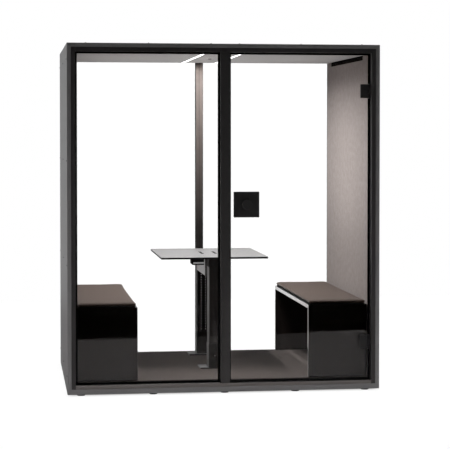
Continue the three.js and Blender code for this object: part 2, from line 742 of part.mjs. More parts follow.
// Table: top with two cable slots, beam, two columns in sleeved bases, power box and cable chain
function makeTable() {
  const side = tableWidth / 2;
  const middle = (tableFront + tableRear) / 2;
  const top = slab(-side, side, tableFront, tableRear, tableUnder, tableTop, tableCornerRadius, tableArris);
  const slots = [-cableSlotOffset, cableSlotOffset].map((x) =>
    barZ(
      x - cableSlotWidth / 2, x + cableSlotWidth / 2, middle - cableSlotLength / 2, middle + cableSlotLength / 2,
      tableUnder - tableThickness, tableTop + tableThickness, cableSlotWidth / 2 - 0.5,
    ),
  );
  add("table_top", cut(top, ...slots), "laminate");

  const half = columnWidth / 2;
  const blockHalf = half + headBlockMargin;
  const headFoot = frameworkTop - headBlockHeight;
  const endBlockBack = frontColumnBack + endBlockLength;
  const r = columnCornerRadius;
  const m = headBlockMargin;
  const frontColumn = join(
    barZ(-half, half, frontColumnFace, frontColumnBack, columnFoot, headFoot + m, r),
    box(-blockHalf, blockHalf, frontColumnFace - m, endBlockBack, headFoot, frameworkTop),
    box(-blockHalf, blockHalf, frontColumnBack + m, endBlockBack, beamUnder, headFoot + m),
    box(-half + r, half - r, frontColumnBack - r, frontColumnBack + 2 * m, beamUnder, headFoot + m),
  );
  add("table_front_column", frontColumn, "tableMetal");
  const rearColumn = join(
    barZ(-half, half, rearColumnFace, rearColumnBack, columnFoot, headFoot + m, r),
    box(-blockHalf, blockHalf, rearColumnFace, rearColumnBack + m, headFoot, frameworkTop),
  );
  add("table_rear_column", rearColumn, "tableMetal");
  const beamFront = endBlockBack + jointGap;
  const beamRear = rearColumnFace - jointGap;
  add("table_beam", barY(-half, half, beamFront, beamRear, beamUnder, frameworkTop, beamArris), "tableMetal");
  makeTableBase("table_front_base", frontColumnFace, frontColumnFace - sleeveWall - jointGap, 1);
  makeTableBase("table_rear_base", rearColumnFace, rearColumnBack + sleeveWall + jointGap, -1);

  const boxRight = -half - jointGap;
  const boxLeft = boxRight - powerBoxWidth;
  const boxTop = tableUnder - powerBoxDrop;
  const boxFoot = boxTop - powerBoxHeight;
  const section = new THREE.Shape();
  section.moveTo(boxLeft + powerBoxChamfer, boxFoot);
  section.lineTo(boxRight, boxFoot);
  section.lineTo(boxRight, boxTop);
  section.lineTo(boxLeft, boxTop);
  section.lineTo(boxLeft, boxFoot + powerBoxChamfer);
  const boxFront = frontColumnBack + powerBoxFromColumn;
  const body = extrude(section, powerBoxDepth).rotateX(Math.PI / 2);
  add("power_box", body.translate(0, boxFront + powerBoxDepth, 0), "blackPlastic");
  makeChain();
}

function makeTableBase(name, columnFace, plateEdge, sign) {
  const half = columnWidth / 2 + jointGap;
  const outerHalf = half + sleeveWall;
  const y0 = columnFace - jointGap;
  const y1 = columnFace + columnDepth + jointGap;
  const r = columnCornerRadius + jointGap;
  const plateFoot = floorTop + jointGap;
  const plateTop = plateFoot + basePlateThickness;
  const far = plateEdge + sign * basePlateDepth;
  const plateSide = basePlateWidth / 2;
  const plate = barZ(-plateSide, plateSide, plateEdge, far, plateFoot, plateTop, basePlateCorner);
  const tube = barZ(
    -outerHalf, outerHalf, y0 - sleeveWall, y1 + sleeveWall, plateTop - jointGap, sleeveTop, r + sleeveWall,
  );
  const bore = barZ(-half, half, y0, y1, plateTop, sleeveTop + sleeveHeight, r);
  add(name, cut(join(plate, tube), bore), "tableMetal");
}

// Cable chain: flat links on a narrow core, hung from the beam in front of the rear column
function makeChain() {
  const back = rearColumnFace - sleeveWall - 2 * jointGap;
  const y0 = back - chainDepth;
  const middle = (y0 + back) / 2;
  const top = beamUnder - jointGap;
  const count = Math.floor((top - sleeveTop - chainFloorGap) / chainPitch);
  const bottom = top - count * chainPitch;
  const x = chainOffset;
  const neckX = chainNeckWidth / 2;
  const neckY = chainNeckDepth / 2;
  const links = [box(x - neckX, x + neckX, middle - neckY, middle + neckY, bottom, top)];
  for (let i = 0; i < count; i++) {
    const z = bottom + i * chainPitch;
    const wide = chainWidth / 2;
    const plan = roundedRect(x - wide, x + wide, y0, back, chainCorner);
    links.push(extrude(plan, chainLinkHeight, 1).translate(0, 0, z));
  }
  add("cable_chain", join(...links), "blackPlastic");
}

makeBase();
makeWall("left", -1);
makeWall("right", 1);
makeTop();
makeFrame("front", frontFrameFace, frontFrameBack, "front_mullion", mullionSide);
makeFrame("rear", rearFrameBack, rearFrameFace, "rear_post", postSide);
makePane("front_fixed_glass", "front_glass_gasket", -reveal, -mullionSide, frontGlassMid, gasketWidth, glassBite);
makePane("rear_glass_left", "rear_gasket_left", -reveal, -postSide, rearGlassMid, rearGasketWidth, rearGlassBite);
makePane("rear_glass_right", "rear_gasket_right", postSide, reveal, rearGlassMid, rearGasketWidth, rearGlassBite);
makeDoor();
makeHinge("upper", hingeHeights.upper);
makeHinge("lower", hingeHeights.lower);
makeKnobs();
makeBench("left", -1);
makeBench("right", 1);
makeTable();

export default pod;
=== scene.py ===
# %% [markdown]
# # An acoustic office pod, finished
# The construction arrives as named pieces in metres: shell, frames, glass, door hardware, benches and
# table. This lesson gives every piece its finish, sews the two seat pads and adds screws and other small
# parts. It also sets up the camera and the light. We start by loading the pieces and keeping their overall
# box, which places the floor.

# %% Load the pieces
import json

import bpy
import numpy as np
from mathutils import Euler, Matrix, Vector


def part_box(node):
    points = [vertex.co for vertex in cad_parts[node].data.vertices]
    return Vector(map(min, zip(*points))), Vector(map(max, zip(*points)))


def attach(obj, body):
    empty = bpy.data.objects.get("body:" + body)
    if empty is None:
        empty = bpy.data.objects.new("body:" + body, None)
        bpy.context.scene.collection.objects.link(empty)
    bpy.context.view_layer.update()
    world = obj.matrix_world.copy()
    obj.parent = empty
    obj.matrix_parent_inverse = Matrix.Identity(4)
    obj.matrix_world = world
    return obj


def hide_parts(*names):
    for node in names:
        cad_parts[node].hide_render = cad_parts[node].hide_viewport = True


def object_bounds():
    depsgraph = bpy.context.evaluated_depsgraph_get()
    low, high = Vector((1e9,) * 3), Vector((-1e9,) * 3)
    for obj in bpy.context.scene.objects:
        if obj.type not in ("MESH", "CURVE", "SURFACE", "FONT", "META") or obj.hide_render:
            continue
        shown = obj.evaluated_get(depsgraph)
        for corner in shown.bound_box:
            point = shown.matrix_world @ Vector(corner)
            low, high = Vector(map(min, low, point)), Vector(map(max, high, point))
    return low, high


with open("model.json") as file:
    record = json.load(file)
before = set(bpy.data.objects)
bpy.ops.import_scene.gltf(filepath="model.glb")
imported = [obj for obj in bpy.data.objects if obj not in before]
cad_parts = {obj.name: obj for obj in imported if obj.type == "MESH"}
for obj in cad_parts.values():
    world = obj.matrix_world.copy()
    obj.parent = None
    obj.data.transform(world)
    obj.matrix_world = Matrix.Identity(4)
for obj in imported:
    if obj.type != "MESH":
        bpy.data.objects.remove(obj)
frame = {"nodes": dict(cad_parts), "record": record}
nodes = frame["nodes"]
cad_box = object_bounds()
scene = bpy.context.scene
scene.view_settings.view_transform = "Standard"
print("pieces loaded:", len(nodes))

# %% [markdown]
# ## The camera
# The photograph looks at the pod from a little left of its middle, from far away with a long lens. Its
# upright edges stay upright, which is what a shifted lens does. Half of that offset is made with lens shift
# and half by tilting the camera down, so that the shift stays small for the other views.

# %% Camera at the photograph's place
image_width = 450
image_height = 449
focal_pixels = 1571.8
horizon_row = 134.25
camera_place = (-1.3375, -10.597, 1.6475)
camera_yaw = np.radians(7.70)
lens_shift = -0.10

rows_above_centre = image_height / 2 - horizon_row
tilt = np.arctan((rows_above_centre + lens_shift * image_width) / focal_pixels)
camera_data = bpy.data.cameras.new("photo_camera")
camera_data.sensor_width = 36
camera_data.lens = focal_pixels / image_width * camera_data.sensor_width
camera_data.shift_y = lens_shift
camera_data.clip_end = 100
camera = bpy.data.objects.new("photo_camera", camera_data)
camera.location = camera_place
camera.rotation_euler = Euler((np.pi / 2 - tilt, 0, -camera_yaw), "XYZ")
scene.collection.objects.link(camera)
scene.camera = camera
print("lens %.1f mm, tilt %.2f degrees" % (camera_data.lens, np.degrees(tilt)))

# %% [markdown]
# ## Helpers for shader nodes
# Every finish is a small graph of shader nodes. One helper adds a node, sets its properties and fills or
# links its inputs. Short ones on top of it write a sum, a ramp or a blend in one line. Two more start a
# node group and place it, which is how an effect is written once and used by many finishes.


# %% Node helpers
def put(tree, kind, inputs=None, **settings):
    """Adds a node; an input value that is a socket gets linked, and any other value is set."""
    node = tree.nodes.new(kind)
    for key, value in settings.items():
        setattr(node, key, value)
    for key, value in (inputs or {}).items():
        if isinstance(value, bpy.types.NodeSocket):
            tree.links.new(value, node.inputs[key])
        else:
            node.inputs[key].default_value = value
    return node


def maths(tree, operation, first, second=0.0):
    """One sum, product or test of two numbers or sockets; an operation on one number ignores the second."""
    return put(tree, "ShaderNodeMath", {0: first, 1: second}, operation=operation).outputs[0]


def ramp(tree, value, reach=(0.0, 1.0), ends=(0.0, 1.0)):
    """Carries a value evenly from the reach to the two ends, and holds it at the ends outside the reach."""
    inputs = {"Value": value, "From Min": reach[0], "From Max": reach[1]}
    inputs.update({"To Min": ends[0], "To Max": ends[1]})
    return put(tree, "ShaderNodeMapRange", inputs).outputs["Result"]


def blend_values(tree, mask, low, high):
    """A number between low and high by a mask; low where the mask is 0 and high where it is 1."""
    return put(tree, "ShaderNodeMix", {"Factor": mask, "A": low, "B": high}).outputs["Result"]


def spot_on(tree):
    """The place on the piece as three sockets X, Y and Z, in its own metres."""
    where = put(tree, "ShaderNodeTexCoord").outputs["Object"]
    return put(tree, "ShaderNodeSeparateXYZ", {0: where}).outputs


# %% Group helpers
def start_group(name, inputs, outputs):
    """A new shader group with float or vector inputs, given as {name: start value}, and float outputs."""
    tree = bpy.data.node_groups.new(name, "ShaderNodeTree")
    for key, value in inputs.items():
        kind = "NodeSocketVector" if isinstance(value, tuple) else "NodeSocketFloat"
        socket = tree.interface.new_socket(key, in_out="INPUT", socket_type=kind)
        socket.default_value = value
    for key in outputs:
        tree.interface.new_socket(key, in_out="OUTPUT", socket_type="NodeSocketFloat")
    entry = tree.nodes.new("NodeGroupInput")
    exit_node = tree.nodes.new("NodeGroupOutput")
    return tree, entry.outputs, exit_node.inputs


def place(tree, group, **values):
    """Places a group in a material with its own values."""
    node = tree.nodes.new("ShaderNodeGroup")
    node.node_tree = group
    for key, value in values.items():
        node.inputs[key.replace("_", " ").capitalize()].default_value = value
    return node.outputs


# %% [markdown]
# ## Shared effects
# Paint, lacquer and moulded plastic share a grain: slow clouds of tone, and a fine peel that breaks up the
# gloss. Felt and carpet share a mat of short fibres. The seat pads have a plain weave. A mask tells which
# way the surface faces on the piece. On the boards, the table top and the table's columns and bases it
# paints shade, near black on the sides that the cabin lamps leave unlit. Pictures could do the same, but
# noise needs no unwrapping and keeps its size in metres.


# %% Grain of coated surfaces
def make_grain():
    """Tone: slow noise around the piece. Peel: fine noise, used as height."""
    scales = {"Cloud scale": 2.0, "Peel scale": 400.0}
    tree, given, result = start_group("grain", scales, ["Tone", "Peel"])
    where = put(tree, "ShaderNodeTexCoord").outputs["Object"]
    cloud = put(tree, "ShaderNodeTexNoise", {"Vector": where, "Scale": given["Cloud scale"], "Detail": 5.0})
    peel = put(tree, "ShaderNodeTexNoise", {"Vector": where, "Scale": given["Peel scale"], "Detail": 2.0})
    tree.links.new(cloud.outputs["Fac"], result["Tone"])
    tree.links.new(peel.outputs["Fac"], result["Peel"])
    return tree


grain = make_grain()
print("effect:", grain.name)


# %% Fibres of felt and carpet
def make_fibres():
    """Three noises, each drawn out along one axis, are averaged into a mat; clumps add a coarser tone."""
    scales = {"Fibre scale": 300.0, "Clump scale": 40.0}
    tree, given, result = start_group("fibres", scales, ["Tone", "Mat"])
    where = put(tree, "ShaderNodeTexCoord").outputs["Object"]
    layers = []
    for stretch in [(0.25, 1, 1), (1, 0.25, 1), (1, 1, 0.25)]:
        drawn = put(tree, "ShaderNodeVectorMath", {0: where, 1: stretch}, operation="MULTIPLY").outputs[0]
        inputs = {"Vector": drawn, "Scale": given["Fibre scale"], "Detail": 3.0, "Roughness": 0.6}
        layers.append(put(tree, "ShaderNodeTexNoise", inputs).outputs["Fac"])
    total = maths(tree, "ADD", maths(tree, "ADD", layers[0], layers[1]), layers[2])
    mat = maths(tree, "DIVIDE", total, 3.0)
    clump = put(tree, "ShaderNodeTexNoise", {"Vector": where, "Scale": given["Clump scale"], "Detail": 4.0})
    tone = maths(tree, "MULTIPLY", maths(tree, "MULTIPLY", mat, clump.outputs["Fac"]), 2.0)
    tree.links.new(tone, result["Tone"])
    tree.links.new(mat, result["Mat"])
    return tree


fibres = make_fibres()
print("effect:", fibres.name)


# %% Plain weave of the seat covers
def make_weave():
    """Two wave bands at right angles are multiplied into threads; slubs, a noise, vary the tone."""
    tree, given, result = start_group("weave", {"Thread scale": 120.0}, ["Tone", "Threads"])
    where = put(tree, "ShaderNodeTexCoord").outputs["Object"]
    inputs = {"Vector": where, "Scale": given["Thread scale"], "Distortion": 0.6, "Detail": 1.0}
    bands = []
    for direction in ["X", "Y"]:
        wave = put(tree, "ShaderNodeTexWave", inputs, wave_type="BANDS", bands_direction=direction)
        bands.append(wave.outputs["Fac"])
    threads = maths(tree, "MULTIPLY", bands[0], bands[1])
    slub = put(tree, "ShaderNodeTexNoise", {"Vector": where, "Scale": 90.0, "Detail": 3.0}).outputs["Fac"]
    tone = maths(tree, "MULTIPLY", maths(tree, "ADD", threads, slub), 0.5)
    tree.links.new(tone, result["Tone"])
    tree.links.new(threads, result["Threads"])
    return tree


weave = make_weave()
print("effect:", weave.name)


# %% Mask of the faces that look along an axis
def make_facing():
    """1 where the surface's own normal lies along the given axis, either way, and 0 elsewhere."""
    tree, given, result = start_group("facing", {"Axis": (0.0, 0.0, 1.0)}, ["Mask"])
    normal = put(tree, "ShaderNodeTexCoord").outputs["Normal"]
    along = put(tree, "ShaderNodeVectorMath", {0: normal, 1: given["Axis"]}, operation="DOT_PRODUCT")
    size = maths(tree, "ABSOLUTE", along.outputs["Value"])
    tree.links.new(maths(tree, "GREATER_THAN", size, 0.75), result["Mask"])
    return tree


facing = make_facing()
print("effect:", facing.name)

# %% [markdown]
# ## Finishes
# A finish mixes two close colours by a tone, lets the same tone move the roughness a little, and raises the
# surface with a bump. The colours are written in linear light, darkest first.


# %% The common finish
def start_material(name):
    """A material with only its Principled shader; returns the material, its node tree and the shader."""
    material = bpy.data.materials.new(name)
    material.use_nodes = True
    tree = material.node_tree
    return material, tree, tree.nodes["Principled BSDF"]


def blend_colours(tree, mask, low, high):
    """A colour between low and high by a mask; each end is a colour triple or a colour socket."""
    ends = [c if isinstance(c, bpy.types.NodeSocket) else (*c, 1) for c in (low, high)]
    mix = put(tree, "ShaderNodeMix", {"Factor": mask}, data_type="RGBA")
    for socket, value in zip([s for s in mix.inputs if s.type == "RGBA"], ends):
        if isinstance(value, tuple):
            socket.default_value = value
        else:
            tree.links.new(value, socket)
    return next(s for s in mix.outputs if s.type == "RGBA")


def dress(tree, shader, colour, tone, height, rough, bump, reach):
    """Colour, roughness moved between two values by the tone, and a bump of the given reach in metres."""
    tree.links.new(colour, shader.inputs["Base Color"])
    tree.links.new(ramp(tree, tone, ends=rough), shader.inputs["Roughness"])
    relief = put(tree, "ShaderNodeBump", {"Height": height, "Strength": bump, "Distance": reach})
    tree.links.new(relief.outputs["Normal"], shader.inputs["Normal"])


# %% Coats, plastics and rubber
def coated(name, low, high, rough, cloud=2.0, peel=400.0, bump=0.1, metallic=0.0, shine=0.5):
    """Paint, lacquer, rubber or moulded plastic with the shared grain; shine is the specular level."""
    material, tree, shader = start_material(name)
    effect = place(tree, grain, cloud_scale=cloud, peel_scale=peel)
    colour = blend_colours(tree, effect["Tone"], low, high)
    dress(tree, shader, colour, effect["Tone"], effect["Peel"], rough, bump, reach=0.0004)
    shader.inputs["Metallic"].default_value = metallic
    shader.inputs["Specular IOR Level"].default_value = shine
    return material


satin = (0.34, 0.44)
frame_grey = ((0.042, 0.041, 0.042), (0.056, 0.054, 0.055))
sill_grey = ((0.17, 0.156, 0.15), (0.21, 0.193, 0.186))
hardware_grey = ((0.028, 0.028, 0.029), (0.04, 0.04, 0.041))
silver_grey = ((0.72, 0.72, 0.725), (0.8, 0.8, 0.805))
steel_grey = ((0.45, 0.45, 0.46), (0.55, 0.55, 0.56))
ceiling_white = ((0.7, 0.692, 0.692), (0.76, 0.752, 0.752))
frame_coat = coated("frame_coat", *frame_grey, satin, cloud=3.0, peel=900.0, bump=0.15)
sill_coat = coated("sill_coat", *sill_grey, satin, cloud=3.0, peel=900.0, bump=0.15)
hardware_coat = coated("hardware_coat", *hardware_grey, (0.35, 0.45), cloud=9.0, peel=1200.0)
table_coat = coated("table_coat", *silver_grey, (0.5, 0.6), cloud=4.0, peel=900.0, bump=0.15, shine=0.2)
ground_steel = coated("ground_steel", *steel_grey, (0.25, 0.38), cloud=30.0, peel=900.0, metallic=1.0)
ceiling_board = coated("ceiling_board", *ceiling_white, (0.7, 0.8), peel=500.0, shine=0.2)
print("coats:", len(bpy.data.materials))

# %% Black rubber and plastic
seal_black = ((0.0015, 0.0015, 0.0015), (0.003, 0.003, 0.003))
plastic_black = ((0.004, 0.004, 0.004), (0.008, 0.008, 0.008))
grille_black = ((0.001, 0.001, 0.001), (0.002, 0.002, 0.002))
seal_rubber = coated("seal_rubber", *seal_black, (0.7, 0.8), cloud=8.0, peel=500.0, shine=0.1)
black_plastic = coated("black_plastic", *plastic_black, (0.6, 0.75), cloud=12.0, shine=0.15)
vent_black = coated("vent_black", *grille_black, (0.85, 0.95), cloud=8.0, shine=0.0)
print("finishes so far:", len(bpy.data.materials))


# %% Felt and carpet
def fibrous(name, low, high, fibre, clump, bump, reach):
    """Felt or carpet: a rough mat of fibres with a little sheen."""
    material, tree, shader = start_material(name)
    effect = place(tree, fibres, fibre_scale=fibre, clump_scale=clump)
    colour = blend_colours(tree, effect["Tone"], low, high)
    dress(tree, shader, colour, effect["Tone"], effect["Mat"], (0.9, 1.0), bump, reach)
    shader.inputs["Specular IOR Level"].default_value = 0.2
    shader.inputs["Sheen Weight"].default_value = 0.08
    return material


felt_taupe = ((0.26, 0.227, 0.213), (0.435, 0.383, 0.364))
carpet_brown = ((0.075, 0.0625, 0.057), (0.166, 0.139, 0.127))
wall_felt = fibrous("wall_felt", *felt_taupe, fibre=260.0, clump=30.0, bump=0.5, reach=0.0015)
floor_carpet = fibrous("floor_carpet", *carpet_brown, fibre=420.0, clump=160.0, bump=0.9, reach=0.004)
print("finishes so far:", len(bpy.data.materials))

# %% Lacquer of the shell, with black feet
foot_top = 0.0099


def make_shell():
    """Satin grey lacquer; below the cassette's underside the feet are black."""
    material, tree, shader = start_material("shell_lacquer")
    effect = place(tree, grain, cloud_scale=1.2, peel_scale=700.0)
    foot = maths(tree, "LESS_THAN", spot_on(tree)["Z"], foot_top)
    grey = blend_colours(tree, effect["Tone"], (0.215, 0.215, 0.219), (0.255, 0.255, 0.26))
    colour = blend_colours(tree, foot, grey, (0.006, 0.006, 0.006))
    dress(tree, shader, colour, effect["Tone"], effect["Peel"], (0.45, 0.55), bump=0.1, reach=0.0004)
    shader.inputs["Specular IOR Level"].default_value = 0.12
    return material


shell_lacquer = make_shell()
print("shell:", shell_lacquer.name)


# %% Boards and the table's laminate, with painted shade on the sides that get no light
def two_tone(name, axis, faces, edges, rough, shine=0.12):
    """A board whose faces across the axis have one pair of colours and whose other sides have another; the
    near-black pair is painted shade for sides that the cabin lamps leave unlit.
    """
    material, tree, shader = start_material(name)
    effect = place(tree, grain, cloud_scale=5.0, peel_scale=600.0)
    mask = place(tree, facing, axis=axis)["Mask"]
    face = blend_colours(tree, effect["Tone"], *faces)
    edge = blend_colours(tree, effect["Tone"], *edges)
    colour = blend_colours(tree, mask, edge, face)
    dress(tree, shader, colour, effect["Tone"], effect["Peel"], rough, bump=0.01, reach=0.0003)
    shader.inputs["Specular IOR Level"].default_value = shine
    return material


painted_shade_edge = ((0.003, 0.003, 0.003), (0.006, 0.006, 0.006))
pale_grey = ((0.72, 0.715, 0.71), (0.79, 0.785, 0.78))
table_grey = ((0.21, 0.207, 0.206), (0.25, 0.247, 0.246))
painted_shade_board = ((0.013, 0.0098, 0.0088), (0.02, 0.0158, 0.0145))
black_cover_and_shade = ((0.009, 0.0078, 0.0075), (0.015, 0.0132, 0.0127))
metal_grey = ((0.27, 0.27, 0.272), (0.31, 0.31, 0.312))
polished = (0.015, 0.03)
# Painted shade: the table's edges are near black where the lamps leave them unlit; top and underside keep
# the laminate grey.
table_laminate = two_tone("table_laminate", (0.0, 0.0, 1.0), table_grey, painted_shade_edge, (0.45, 0.55))
# Painted shade: the bench boards keep their pale grey on the sides facing along X and are near black on the
# faces the lamps leave unlit.
bench_board = two_tone("bench_board", (1.0, 0.0, 0.0), pale_grey, painted_shade_board, polished, shine=0.27)
# Painted shade: the bases' front and rear faces are near black where the lamps leave them unlit; the other
# sides keep the metal grey.
base_coat = two_tone("base_coat", (0.0, 1.0, 0.0), black_cover_and_shade, metal_grey, (0.5, 0.6))
# Painted shade: a near-black board colour for the sheets that darken the hollows under the benches.
painted_shade_sheet = coated("painted_shade_sheet", *painted_shade_board, (0.6, 0.75), cloud=5.0, peel=600.0, shine=0.12)
print("finishes so far:", len(bpy.data.materials))

# %% Black covers and painted shade on the table's columns
head_height = 0.053
block_start = 0.107
block_margin = 0.01


def make_column_coat():
    """Grey and dull on the sides of the posts, black and polished elsewhere; that black is painted shade
    for the faces that the cabin lamps leave unlit. The head block, above a height, and the block between
    two depths behind the front post are black on their sides too."""
    material, tree, shader = start_material("column_coat")
    effect = place(tree, grain, cloud_scale=6.0, peel_scale=900.0)
    side = place(tree, facing, axis=(1.0, 0.0, 0.0))["Mask"]
    spot = spot_on(tree)
    low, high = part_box("table_front_column")
    head = maths(tree, "GREATER_THAN", spot["Z"], high.z - head_height)
    past = maths(tree, "GREATER_THAN", spot["Y"], low.y + block_start)
    before = maths(tree, "LESS_THAN", spot["Y"], high.y + block_margin)
    covered = maths(tree, "MAXIMUM", head, maths(tree, "MULTIPLY", past, before))
    black = blend_colours(tree, effect["Tone"], *black_cover_and_shade)
    grey = blend_colours(tree, effect["Tone"], *metal_grey)
    # Painted shade: faces that do not look along X stand unlit in the cabin and are painted black.
    colour = blend_colours(tree, side, black, grey)
    colour = blend_colours(tree, covered, colour, black)
    dress(tree, shader, colour, side, effect["Peel"], (0.02, 0.75), bump=0.01, reach=0.0003)
    shader.inputs["Specular IOR Level"].default_value = 0.25
    return material


column_coat = make_column_coat()
print("columns:", column_coat.name)

# %% Cladding on the cabin side of the rear post, with painted shade
joint_half = 0.0022
painted_shade_heights = (1.0, 1.75)


def make_cladding():
    """Frame coat, but taupe felt in two halves on the cabin side. Painted shade dims the felt towards
    black: to half its colour above 1.75 m and to a tenth below 1 m, for the strip lamps' light that falls
    off downwards.
    """
    material, tree, shader = start_material("post_cladding")
    effect = place(tree, fibres, fibre_scale=260.0, clump_scale=30.0)
    across = place(tree, facing, axis=(0.0, 1.0, 0.0))["Mask"]
    spot = spot_on(tree)
    low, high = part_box("rear_post")
    inside = maths(tree, "LESS_THAN", spot["Y"], (low.y + high.y) / 2)
    clad = maths(tree, "MULTIPLY", across, inside)
    joint = maths(tree, "LESS_THAN", maths(tree, "ABSOLUTE", spot["X"]), joint_half)
    felt = blend_colours(tree, effect["Tone"], (0.12, 0.098, 0.088), (0.2, 0.165, 0.15))
    felt = blend_colours(tree, joint, felt, (0.08, 0.066, 0.06))
    # Painted shade: the felt's share of its colour, falling from a half at 1.75 m to a tenth at 1 m.
    rise = ramp(tree, spot["Z"], painted_shade_heights, (0.1, 0.5))
    felt = blend_colours(tree, rise, (0.0, 0.0, 0.0), felt)
    colour = blend_colours(tree, clad, (0.085, 0.083, 0.084), felt)
    dress(tree, shader, colour, effect["Tone"], effect["Mat"], (0.7, 0.85), bump=0.3, reach=0.0008)
    shader.inputs["Specular IOR Level"].default_value = 0.2
    return material


post_cladding = make_cladding()
print("rear post:", post_cladding.name)


# %% Glass and light diffuser
def make_glass():
    """Clear float glass; the cut edges are greener than the faces."""
    material, tree, shader = start_material("clear_glass")
    mask = place(tree, facing, axis=(0.0, 1.0, 0.0))["Mask"]
    colour = blend_colours(tree, mask, (0.55, 0.75, 0.68), (1.0, 1.0, 1.0))
    tree.links.new(colour, shader.inputs["Base Color"])
    shader.inputs["Transmission Weight"].default_value = 1.0
    shader.inputs["Roughness"].default_value = 0.0
    shader.inputs["IOR"].default_value = 1.45
    return material


def make_diffuser():
    """Opal strip that glows; the rows of lamps behind it show as faint brighter patches."""
    material, tree, shader = start_material("opal_diffuser")
    where = put(tree, "ShaderNodeTexCoord").outputs["Object"]
    lamps = put(tree, "ShaderNodeTexWave", {"Vector": where, "Scale": 10.0}, bands_direction="Y")
    glow = blend_colours(tree, lamps.outputs["Fac"], (0.94, 0.94, 0.93), (1.0, 1.0, 0.99))
    tree.links.new(glow, shader.inputs["Emission Color"])
    tree.links.new(glow, shader.inputs["Base Color"])
    shader.inputs["Emission Strength"].default_value = 0.9
    shader.inputs["Roughness"].default_value = 0.5
    return material


clear_glass = make_glass()
opal_diffuser = make_diffuser()
print("glass and light:", clear_glass.name, opal_diffuser.name)

# %% Finishes on the pieces
finish_of_slot = {
    "shell": shell_lacquer,
    "frame": frame_coat,
    "rubber": seal_rubber,
    "glass": clear_glass,
    "felt": wall_felt,
    "ceiling": ceiling_board,
    "carpet": floor_carpet,
    "hardware": hardware_coat,
    "light": opal_diffuser,
    "black_plastic": black_plastic,
    "laminate": table_laminate,
    "bench_board": bench_board,
    "table_metal": table_coat,
    "steel": ground_steel,
}
finish_of_piece = {
    "table_front_column": column_coat,
    "table_rear_column": column_coat,
    "table_front_base": base_coat,
    "table_rear_base": base_coat,
    "rear_post": post_cladding,
    "front_sill": sill_coat,
    "rear_sill": sill_coat,
    "left_vent_grille": vent_black,
    "right_vent_grille": vent_black,
}
for entry in frame["record"]["subparts"]:
    finish = finish_of_piece.get(entry["node"], finish_of_slot.get(entry["material_slot"]))
    if finish:
        nodes[entry["node"]].data.materials.clear()
        nodes[entry["node"]].data.materials.append(finish)
print("finishes:", len(bpy.data.materials))

# %% [markdown]
# ## Surfaces from arrays
# New pieces are grids of points: a function of two parameters gives each point, and neighbouring points
# make the faces. A closed grid wraps round in one direction, and its ends are shut with a point each.


# %% Grid to mesh
def closed_grid(grid, foot, tip):
    """Points and faces of a (rings, points, 3) array that wraps round, shut by a point at each end."""
    rings, count, _ = grid.shape
    index = np.arange(rings * count).reshape(rings, count)
    after = np.roll(index, -1, axis=1)
    quads = np.stack([index[:-1], after[:-1], after[1:], index[1:]], axis=-1).reshape(-1, 4)
    low = np.full(count, rings * count)
    first = np.stack([after[0], index[0], low], axis=-1)
    last = np.stack([index[-1], after[-1], low + 1], axis=-1)
    points = np.vstack([grid.reshape(-1, 3), [foot, tip]])
    return points, quads.tolist() + first.tolist() + last.tolist()


def make_mesh(name, points, faces):
    """A mesh from an array of points and a list of faces."""
    mesh = bpy.data.meshes.new(name)
    mesh.from_pydata(np.asarray(points).tolist(), [], faces)
    mesh.update()
    return mesh


def new_piece(name, mesh, material, body, smooth=True):
    """An object at the origin that rides on a body, with its finish."""
    piece = bpy.data.objects.new(name, mesh)
    scene.collection.objects.link(piece)
    mesh.materials.append(material)
    mesh.polygons.foreach_set("use_smooth", np.full(len(mesh.polygons), smooth))
    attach(piece, body)
    return piece


# %% [markdown]
# ## Seat pads
# Each bench has a thin foam pad in a woven cover. The foam is crowned and its sides pull in between the
# corners. We start from a plain pad a little smaller than the real one, blow it up as cloth with pressure,
# cap how far any point may move, and keep the result as the mesh. Both pads are alike, so one is simulated
# and both use its shape.


# %% Woven cover
def make_cover():
    """Brown-grey plain weave with slubs and a soft sheen."""
    material, tree, shader = start_material("woven_cover")
    effect = place(tree, weave, thread_scale=110.0)
    colour = blend_colours(tree, effect["Tone"], (0.077, 0.051, 0.039), (0.147, 0.102, 0.08))
    dress(tree, shader, colour, effect["Tone"], effect["Threads"], (0.85, 0.95), bump=0.5, reach=0.0008)
    shader.inputs["Sheen Weight"].default_value = 0.2
    return material


woven_cover = make_cover()
print("cover:", woven_cover.name)


# %% Outline and sweep of a padded form
def rounded_outline(half_x, half_y, corner, along, arc):
    """Round a rectangle: four quarter circles, joined by straight sides divided every `along` metres."""
    quarters = []
    for turn, (side_x, side_y) in enumerate([(1, -1), (1, 1), (-1, 1), (-1, -1)]):
        angle = np.radians(90 * turn - 90 + np.linspace(0, 90, arc))
        x = side_x * (half_x - corner) + corner * np.cos(angle)
        y = side_y * (half_y - corner) + corner * np.sin(angle)
        quarters.append(np.stack([x, y], axis=-1))
    loop = []
    for here, after in zip(quarters, quarters[1:] + quarters[:1]):
        steps = max(2, int(np.linalg.norm(after[0] - here[-1]) / along))
        loop += [here, np.linspace(here[-1], after[0], steps + 1)[1:-1]]
    return np.vstack(loop)


def sweep(name, outlines, heights, middle):
    """Rings of one outline each, stacked at the given heights, with a point in the middle of both ends."""
    rings = np.stack([np.column_stack([o, np.full(len(o), z)]) for o, z in zip(outlines, heights)])
    rings = rings + np.array([middle[0], middle[1], 0])
    return make_mesh(name, *closed_grid(rings, (*middle[:2], heights[0]), (*middle[:2], heights[-1])))


# %% The pad before it is filled
pad_low, pad_high = (np.array(corner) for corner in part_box("right_seat_pad"))
pad_middle = (pad_low + pad_high) / 2
pad_half = (pad_high - pad_low) / 2
plinth_height = 0.006
pad_corner = 0.014
pad_roll = 0.006
pad_step = 0.02
swell = 0.0025
crown = 0.004
waist = 0.004


def drawn_in(outline, half_x, half_y, depth):
    """Pulls each side in most at its middle, by depth times one minus the square of the place along it."""
    along = np.clip(outline / [half_x, half_y], -1, 1)
    on_side = np.abs(along) > 0.95
    return outline - np.sign(outline) * depth * on_side * (1 - along[:, ::-1] ** 2)


